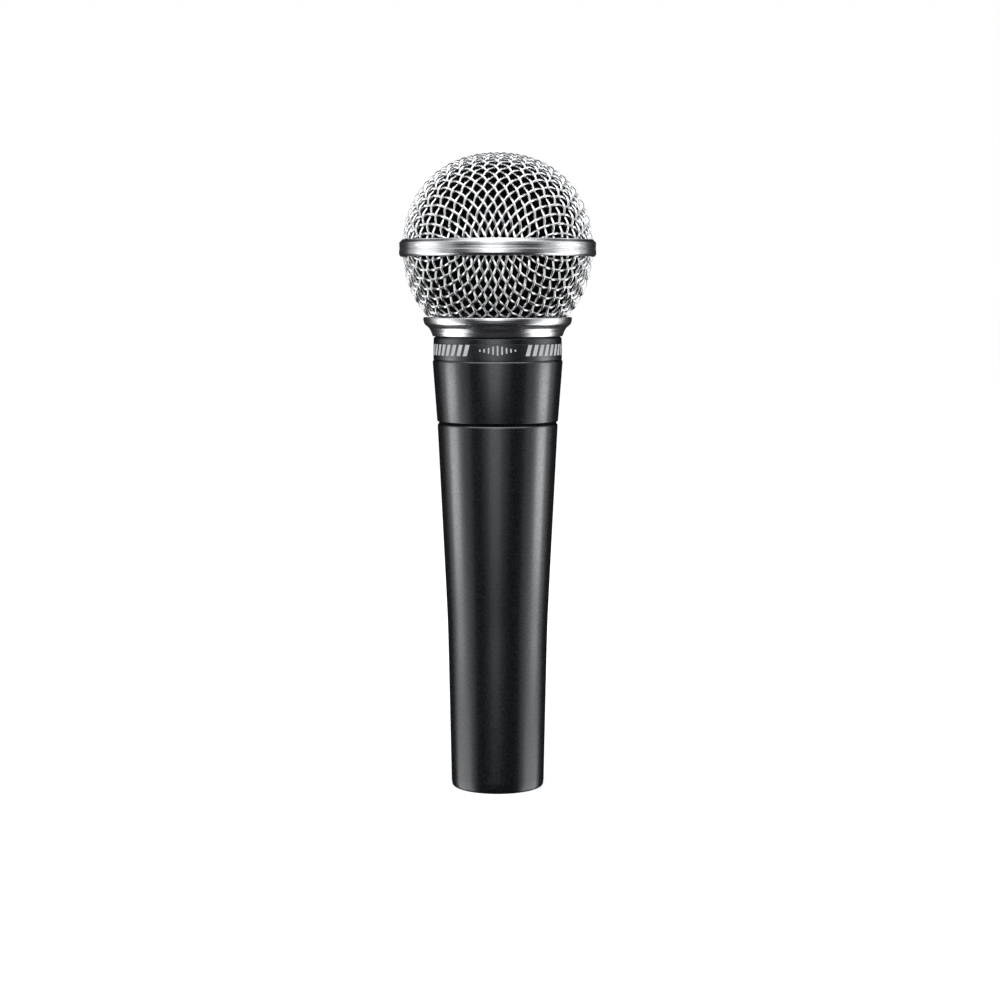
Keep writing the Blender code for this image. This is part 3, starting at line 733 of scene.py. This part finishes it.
def make_screw():
    """Slotted screw in the back of the handle, which holds the insert."""
    screw = rod((0, SEAT_R + 0.3, SCREW_Z), (0, 1, 0), 2.4, 1.25)
    screw = piece("inlet_screw", screw, "steel", "handle", "insert_set_screw")
    cut(screw, block((-2, 11.2, SCREW_Z - 0.25), (2, 13, SCREW_Z + 0.25)))
    soften(screw, 0.12)


def slack(start, end, bow, count=33):
    """Points of a slack wire: straight out of both ends along Z, bowed sideways."""
    t = np.linspace(0, 1, count)[:, None]
    ease = t * t * (3 - 2 * t)
    points = np.asarray(start, float) + (np.asarray(end, float) - start) * np.hstack([ease, ease, t])
    points[:, :2] += np.asarray(bow) * np.sin(math.pi * t) ** 2
    return points


def insulated(name, points, radius, look, body, node):
    """A wire in coloured insulation, along points."""
    ups = np.tile((0.3, 1.0, 0.0), (len(points), 1))
    return piece(name, swept(points, ups, radius, 16), look, body, node)


SOLDER_X = 4.8  # the leads' solder spots on the board, either side of the middle
WIRE_END = 47.5  # height at which the three wires meet the transformer


def make_transformer():
    """Foam seat, mumetal can, and a terminal board with the wires down to the pins."""
    r, z0, z1 = span("transformer_seat")
    piece("transformer_cushion", pipe(4.4, r, z0, z1, 0.5), "foam", "handle", "transformer_seat")
    r, z0, z1 = span("transformer_shield")
    hole, wall, base = 3.6, 0.6, 0.7
    can = [(hole, z0, 0.1), (r, z0, 0.9), (r, z1 - 1.0, 0), (r, z1, 0.1), (r - wall, z1, 0.1),
           (r - wall, z0 + base, 0.5), (hole, z0 + base, 0.1)]
    piece("transformer_can", turned(rounded(can)), "steel", "handle", "transformer_shield")
    r, z0, z1 = span("terminal_board")
    board = piece("solder_board", disc(r, z0, z1), "board", "handle", "terminal_board")
    notches = [block((r - 1.2, -1.0, z0 - 1), (r + 1, 1.0, z1 + 1), angle) for angle in (60, 180, 300)]
    cut(board, *notches)
    dome = [(0, z1 - 0.1), (1.1, z1 - 0.1), (1.05, z1 + 0.1), (0.8, z1 + 0.25), (0, z1 + 0.3)]
    spots = [(x, 0) for x in (-SOLDER_X, SOLDER_X)] + [on_circle(7.5, angle) for angle in (75, 90, 105)]
    pads = join(*[moved(turned(dome, COARSE), x, y) for x, y in spots])
    piece("solder_pads", pads, "solder", "handle")
    looks = ("black_wire", "red_wire", "green_wire")
    for number, (angle, look) in enumerate(zip(PIN_ANGLES.values(), looks), 1):
        start = (*on_circle(PIN_CIRCLE, angle), PIN_TAIL + 0.3)
        end = (*on_circle(2.3, angle), WIRE_END)
        path = slack(start, end, on_circle(1.2, angle + 60))
        insulated(f"inlet_wire_{number}", path, 0.6, look, "handle", f"output_wire_{number}")


def make_leads():
    """Slack leads from the board up to the capsule; they stretch straighter as the head comes off."""
    foot, top = span("terminal_board")[2] + 0.3, 84.8
    tag_x, bow = 3.0, 1.5
    for side, look in ((-1, "yellow_wire"), (1, "green_wire")):
        colour = look.split("_")[0]
        path = slack((SOLDER_X * side, 0, foot), (tag_x * side, 0, top), (0, bow * side), 65)
        lead = insulated(f"capsule_lead_{colour}", path, 0.55, look, None, f"lead_{colour}")
        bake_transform(lead)


# ---------------------------------------------------------------- head

HEAD_FOOT = HANDLE_TOP + 1.0
HEAD_FOOT_R = 15.48
SHOULDER = 116.3  # height of the face under the collar
NECK_R, SPIGOT_R = 14.3, 13.4  # roots of the upper and the lower thread


def make_head():
    """Tapered cup with a recess for the band, a screwed neck above it and a screwed spigot below it."""
    lip_r, spigot, top = span("head_housing")
    band_r, band0, band1 = span("name_band")
    floor, stop, cheek = band_r - 0.75, HANDLE_TOP + 0.4, band_r - 0.08
    chamber_r, neck_bore, spigot_bore = 14.1, 13.3, 12.3
    neck = [(NECK_R, top, 0.3), (NECK_R, SHOULDER, 0.15), (band_r - 0.42, SHOULDER, 0.06),
            (cheek, SHOULDER - 0.38, 0.15)]
    recess = [(cheek, band1 + 0.04, 0), (floor, band1 + 0.04, 0), (floor, band0 - 0.15, 0)]
    side = [(lip_r - 0.16, band0 - 0.15, 0.06), (lip_r, band0 - 0.5, 0.25), (HEAD_FOOT_R, HEAD_FOOT, 0.15)]
    root = [(14.7, HEAD_FOOT, 0), (14.7, stop, 0), (SPIGOT_R, stop, 0.1), (SPIGOT_R, spigot + 0.4, 0.2),
            (12.9, spigot, 0.1)]
    inside = [(spigot_bore, spigot, 0.1), (spigot_bore, HEAD_FOOT + 1, 0.3), (chamber_r, HEAD_FOOT + 4, 0.3),
              (chamber_r, SHOULDER - 0.6, 0.2), (neck_bore, SHOULDER + 0.4, 0.2), (neck_bore, top, 0.15)]
    shell = rounded(neck + recess + side + root + inside)
    piece("head_shell", turned(shell, FINE), "enamel", "head", "head_housing")
    # Near-black rings in the seam between handle and head, and under the collar: painted shade in those
    # gaps.
    shade_rings = join(pipe(14.65, 15.08, HANDLE_TOP + 0.32, HEAD_FOOT + 0.02, 0, FINE),
                 pipe(14.75, 15.95, SHOULDER - 0.05, SHOULDER + 0.12, 0, FINE))
    piece("seam_shade_rings", shade_rings, "washer", "head")
    piece("neck_thread", thread(NECK_R, NECK_R + 0.38, SHOULDER + 0.8, top - 0.5), "enamel", "head")
    piece("spigot_thread", thread(SPIGOT_R, SPIGOT_R + 0.4, spigot + 0.9, HEAD_FOOT - 0.9), "enamel", "head")


def printed_patch(r, angle, width, z0, z1, slant=0.0):
    """A thin patch of ink on a cylinder: width and slant in mm along the surface, angle in degrees."""
    steps = max(2, int(width / 0.25))
    share = np.repeat(np.linspace(0.5, -0.5, steps + 1), 4)
    end = np.tile((-0.5, -0.5, 0.5, 0.5), steps + 1)
    radius = np.tile((r - 0.05, r + 0.03, r + 0.03, r - 0.05), steps + 1)
    turn = math.radians(angle - 90) + (share * width + end * slant) / r
    z = (z0 + z1) / 2 + end * (z1 - z0)
    verts = np.stack([radius * np.cos(turn), radius * np.sin(turn), z], 1)
    rows = np.arange(4 * (steps + 1)).reshape(steps + 1, 4)
    return verts, [between(rows), rows[:1, ::-1], rows[-1:]]


TICK_HEIGHTS = (0.5, 0.9, 1.4, 2.0, 2.4, 2.0, 1.4, 0.9, 0.5)
TICK_WIDTH, TICK_STEP = 0.4, 3.9  # mm and degrees
BAR_COUNT, BAR_START, BAR_STEP = 19, 28.5, 41 / 6  # to each side, degrees from the front
BAR_WIDTH, BAR_HEIGHT, BAR_SLANT = 1.15, 2.8, 0.8


def make_band():
    """Printed band: groups of slanted bars and of thin ticks take the places of any name."""
    r, z0, z1 = span("name_band")
    r -= 0.03
    outline = rounded([(r, z1, 0.12), (r, z0, 0.12), (r - 0.42, z0, 0), (r - 0.42, z1, 0)])
    piece("band_ring", turned(outline, FINE), "band", "head", "name_band")
    middle = (z0 + z1) / 2 + 0.55
    marks = []
    for face in (0, 180):
        for k, height in enumerate(TICK_HEIGHTS):
            angle = face + (k - len(TICK_HEIGHTS) // 2) * TICK_STEP
            marks.append(printed_patch(r, angle, TICK_WIDTH, middle - height / 2, middle + height / 2))
    low, high = middle - BAR_HEIGHT / 2, middle + BAR_HEIGHT / 2
    for k in range(BAR_COUNT):
        for side in (-1, 1):
            angle = side * (BAR_START + k * BAR_STEP)
            marks.append(printed_patch(r, angle, BAR_WIDTH, low, high, BAR_SLANT))
    piece("band_print", join(*marks), "ink", "head")


def make_shock_mount():
    """Clamp ring, and a rolled rubber boot that carries the capsule and gives with it."""
    r, z0, z1 = span("mount_clamp_ring")
    bore = 12.5
    ring = piece("boot_clamp", pipe(bore, r, z0, z1, 0.15, FINE), "steel", "head", "mount_clamp_ring")
    cut(ring, *[block((12, -0.8, z0 - 1), (15, 0.8, z0 + 0.6), angle) for angle in (30, 150, 270)])
    r, z0, z1 = span("shock_mount_boot")
    inner = 12.3
    fold = inner + (r - inner) * 0.42
    boot = [(fold, z1, 0.12), (fold, z0 + 2.3, 0.5), (r, z0 + 1.5, 0.4), (r, z0, 0.15),
            (fold + 0.15, z0, 0.1), (inner, z1 - 1.6, 0.5), (inner, z1, 0.12)]
    boot = piece("rubber_boot", turned(rounded(boot), FINE), "rubber", None, "shock_mount_boot")
    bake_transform(boot)


# ---------------------------------------------------------------- capsule

def make_basket():
    """Grooved frame of the capsule, with a ledge inside that the magnet system stands on."""
    r, z0, z1 = span("capsule_frame")
    can_r = span("rear_chamber")[0]
    yoke_r, yoke0, _ = span("magnet_yoke")
    ledge, ledge_under = yoke0 - 0.3, yoke0 - 1.5
    grooves = []
    for z in (z1 - 1.3, z1 - 5.2):
        grooves += [(r, z, 0.05), (r - 0.3, z - 0.15, 0), (r - 0.3, z - 0.55, 0), (r, z - 0.7, 0.05)]
    foot = [(r, z0, 0.2), (can_r - 1.4, z0, 0.1), (can_r - 1.4, z0 + 1.2, 0), (can_r - 0.4, z0 + 1.2, 0)]
    inside = [(can_r - 0.4, ledge_under, 0), (can_r - 2.4, ledge_under, 0), (can_r - 2.4, ledge, 0),
              (yoke_r + 0.3, ledge, 0), (yoke_r + 0.3, z1, 0.1)]
    basket = rounded([(r, z1, 0.15)] + grooves + foot + inside)
    piece("basket", turned(basket, FINE), "nylon", "capsule", "capsule_frame")


def make_rear_can():
    """Rear chamber: a drawn can with a shallow waist near its mouth."""
    r, z0, z1 = span("rear_chamber")
    floor, wall, waist = z0 + 1.0, 0.8, 0.25
    outside = [(0, z0, 0), (r, z0, 1.2), (r, z1 - 2.2, 0.1), (r - waist, z1 - 2.0, 0.1),
               (r - waist, z1 - 1.4, 0.1), (r, z1 - 1.2, 0.1), (r, z1, 0.15)]
    inside = [(r - wall, z1, 0.15), (r - wall, floor, 0.6), (0, floor, 0)]
    piece("rear_can", turned(solid_outline(outside + inside)), "steel", "capsule", "rear_chamber")


def make_magnet():
    """Yoke, magnet and pole piece, which leave the gap for the coil, and the felt ring over them."""
    r, z0, z1 = span("magnet_yoke")
    gap_r, gap_z = 6.45, span("pole_piece")[1]
    cup_r, floor = 7.3, z0 + 2
    outside = [(0, z0, 0), (r, z0, 0.3), (r, z1, 0.2)]
    inside = [(gap_r, z1, 0.1), (gap_r, gap_z, 0.1), (cup_r, gap_z, 0.1), (cup_r, floor, 0.2), (0, floor, 0)]
    piece("yoke_cup", turned(solid_outline(outside + inside)), "nickel", "capsule", "magnet_yoke")
    for name, node, look in (("magnet_disc", "magnet", "core"), ("pole_disc", "pole_piece", "steel")):
        r, z0, z1 = span(node)
        piece(name, disc(r, z0, z1, 0.15), look, "capsule", node)
    r, z0, z1 = span("damping_felt")
    piece("felt_washer", pipe(6.85, r, z0, z1, 0.2), "felt", "capsule", "damping_felt")


def make_cap():
    """Slotted resonator cap over the diaphragm, with fine cloth behind its slots."""
    r, z0, z1 = span("resonator_cap")
    wall, under = 0.9, z1 - 1.2
    groove = [(2.9, z1, 0), (3.1, z1 - 0.3, 0), (3.6, z1 - 0.3, 0), (3.8, z1, 0)]
    side = [(r - 0.05, z1, 1.1), (r, z0, 0.15), (r - wall, z0, 0.1), (r - wall, under, 0.3)]
    cup = solid_outline([(0, z1, 0)] + groove + side + [(0, under, 0)])
    cap = piece("slotted_cap", turned(cup, FINE), "nylon", "capsule", "resonator_cap")
    slots = [block((4.6, -1.0, z1 - 3), (8.6, 1.0, z1 + 2), 60 * k + 30) for k in range(6)]
    cut(cap, rod((0, 0, z1 - 3), (0, 0, 1), 5, 2.6), *slots)
    soften(cap, 0.12)
    r, z0, z1 = span("capsule_screen")
    piece("cap_cloth", disc(r, z0, z1, 0.08), "felt", "capsule", "capsule_screen")


def make_moving_coil():
    """Domed diaphragm with a rolled surround, and the coil under its dome."""
    r, z, top = span("diaphragm")
    dome_r, thick, count = 6.05, 0.25, 25
    share = np.linspace(0, 1, count)
    dome = [(dome_r * s, z + (top - z - thick) * (1 - s * s)) for s in share]
    roll = [(dome_r + (r - dome_r) * s, z + 0.65 * math.sin(math.pi * s)) for s in share[1:]]
    under = dome + roll
    upper = [(a, b + thick) for a, b in under]
    piece("cone", turned(upper[::-1][:-1] + [(0, upper[0][1])] + under), "film", "moving_coil", "diaphragm")
    r, z0, z1 = span("voice_coil")
    piece("coil_winding", pipe(5.55, r, z0, z1, 0.08), "copper", "moving_coil", "voice_coil")


def make_terminals():
    """Plate behind the capsule, with two forked tags and the bell-mouthed sleeves of the leads.

    The lead's end slides in its sleeve as the capsule floats.
    """
    r, z0, z1 = span("capsule_terminal_plate")
    plate = piece("terminal_disc", disc(r, z0, z1), "board", "capsule", "capsule_terminal_plate")
    cut(plate, *[rod((*on_circle(6.8, angle), z0 - 1), (0, 0, 1), 4, 0.6) for angle in (90, 210, 330)])
    for number in (1, 2):
        low, high = box_mm(f"capsule_terminal_{number}")
        x, foot = (low[0] + high[0]) / 2, low[2]
        tag = piece(f"solder_tag_{number}", block(low, high), "silver_plate", "capsule",
                    f"capsule_terminal_{number}")
        hole = rod((x, -2, foot + 2.1), (0, 1, 0), 4, 0.35)
        fork = block((x - 0.66, -1, foot - 1), (x + 0.66, 1, foot + 1.15))
        cut(tag, hole, fork)
        soften(tag, 0.05)
        inner = [(0, 0.95), (0.72, 0.95), (0.72, -0.3), (1.2, -1.5)]
        outer = [(1.4, -1.5), (0.95, -0.25), (0.95, 1.1), (0.6, 1.35), (0, 1.35)]
        sleeve = moved(turned(inner + outer, COARSE), x, 0, foot)
        piece(f"lead_sleeve_{number}", sleeve, "solder", "capsule")


# ---------------------------------------------------------------- studio

EYE = (0.6, -570.0, 128.18)  # where the camera stands
PITCH = 5.39  # degrees that the camera looks down
LENS, SENSOR = 80.13, 36
HEART = Vector((0, 0, 100))  # what the lights point at


def make_camera():
    """In front of the microphone and a little above its middle, as in the photograph; no depth of field."""
    camera = bpy.data.cameras.new("camera")
    camera.lens, camera.sensor_width = LENS, SENSOR
    camera.clip_start = 0.01
    obj = bpy.data.objects.new("camera", camera)
    obj.location = [v * MM for v in EYE]
    obj.rotation_euler = (math.radians(90 - PITCH), 0, 0)
    bpy.context.scene.collection.objects.link(obj)
    bpy.context.scene.camera = obj


def softbox(name, azimuth, elevation, half_width, half_height, radiance, distance=620):
    """A soft light seen from the microphone as so many degrees either way.

    Azimuth 0 is in front and 90 on the right.
    """
    light = bpy.data.lights.new(name, "AREA")
    light.shape = "RECTANGLE"
    light.size = 2 * distance * math.tan(math.radians(half_width)) * MM
    light.size_y = 2 * distance * math.tan(math.radians(half_height)) * MM
    light.energy = radiance * math.pi * light.size * light.size_y
    a, e = math.radians(azimuth), math.radians(elevation)
    direction = Vector((math.sin(a) * math.cos(e), -math.cos(a) * math.cos(e), math.sin(e)))
    obj = bpy.data.objects.new(name, light)
    obj.location = (HEART + direction * distance) * MM
    obj.rotation_euler = direction.to_track_quat("Z", "Y").to_euler()
    obj.visible_camera = False
    bpy.context.scene.collection.objects.link(obj)


def make_lights():
    """Side boxes, brightest a little below the horizontal, a tall one in front and one overhead."""
    for side, name, core in ((-1, "left", 4.0), (1, "right", 4.7)):
        softbox(f"{name}_wide", 88 * side, 10, 36, 42, 0.45)
        softbox(f"{name}_middle", 90 * side, 9, 19, 26, 0.7)
        softbox(f"{name}_core", 93 * side, -9.5, 11, 5.5, core)
        softbox(f"{name}_low", 92 * side, -36, 22, 15, 1.75)
    softbox("front_wide", -4, 24, 29, 38, 0.45)
    softbox("front_core", -5, 28, 14, 43, 1.08)
    softbox("overhead", 0, 60, 45, 28, 1.7)


def make_world():
    """White to the camera, and nearly black to everything that reflects it."""
    world = bpy.data.worlds.new("studio")
    world.use_nodes = True
    tree = world.node_tree
    path = tree.nodes.new("ShaderNodeLightPath")
    mix = tree.nodes.new("ShaderNodeMix")
    mix.data_type = "RGBA"
    for socket in mix.inputs:
        if socket.type == "RGBA":
            socket.default_value = (0.01, 0.01, 0.011, 1) if socket.name == "A" else (1, 1, 1, 1)
    tree.links.new(path.outputs["Is Camera Ray"], mix.inputs["Factor"])
    tree.links.new([out for out in mix.outputs if out.type == "RGBA"][0],
                   tree.nodes["Background"].inputs["Color"])
    bpy.context.scene.world = world


def make_floor():
    """Pale paper that fades to plain white away from the microphone."""
    bm = bmesh.new()
    bmesh.ops.create_circle(bm, cap_ends=True, segments=128, radius=12.0)
    mesh = bpy.data.meshes.new("floor")
    bm.to_mesh(mesh)
    bm.free()
    floor = bpy.data.objects.new("floor", mesh)
    paper = Nodes("paper", (0.9, 0.9, 0.9), 0.95, Emission_Color=(1, 1, 1, 1), Emission_Strength=0.8)
    paper.colour(paper.ramp(paper.noise(3, 2), 0.88, 0.92))
    distance = paper.add("ShaderNodeVectorMath", operation="LENGTH")
    paper.link(paper.object_coords(), distance.inputs[0])
    fade = paper.ramp(distance.outputs["Value"], 0.62, 1.0, 0.05, 0.35)
    paper.link(fade, paper.shader.inputs["Emission Strength"])
    mesh.materials.append(paper.material)
    bpy.context.scene.collection.objects.link(floor)
    floor.visible_glossy = False
    floor.visible_shadow = False


def dress_nodes():
    """Gives every CAD node the finish of its own slot."""
    slots = {part["node"]: part["material_slot"] for part in frame["record"]["subparts"]}
    for name, obj in frame["nodes"].items():
        obj.data.materials.clear()
        obj.data.materials.append(materials[slots[name]])


materials = make_materials()
make_camera()
make_lights()
make_world()
make_floor()
dress_nodes()
make_handle()
make_insert()
make_pins()
make_ground_lug()
make_screw()
make_transformer()
make_leads()
make_head()
make_band()
make_shock_mount()
make_basket()
make_rear_can()
make_magnet()
make_cap()
make_moving_coil()
make_terminals()
make_cloth()
make_ring()
make_collar()
make_foam()
bpy.context.scene.view_settings.view_transform = "Standard"
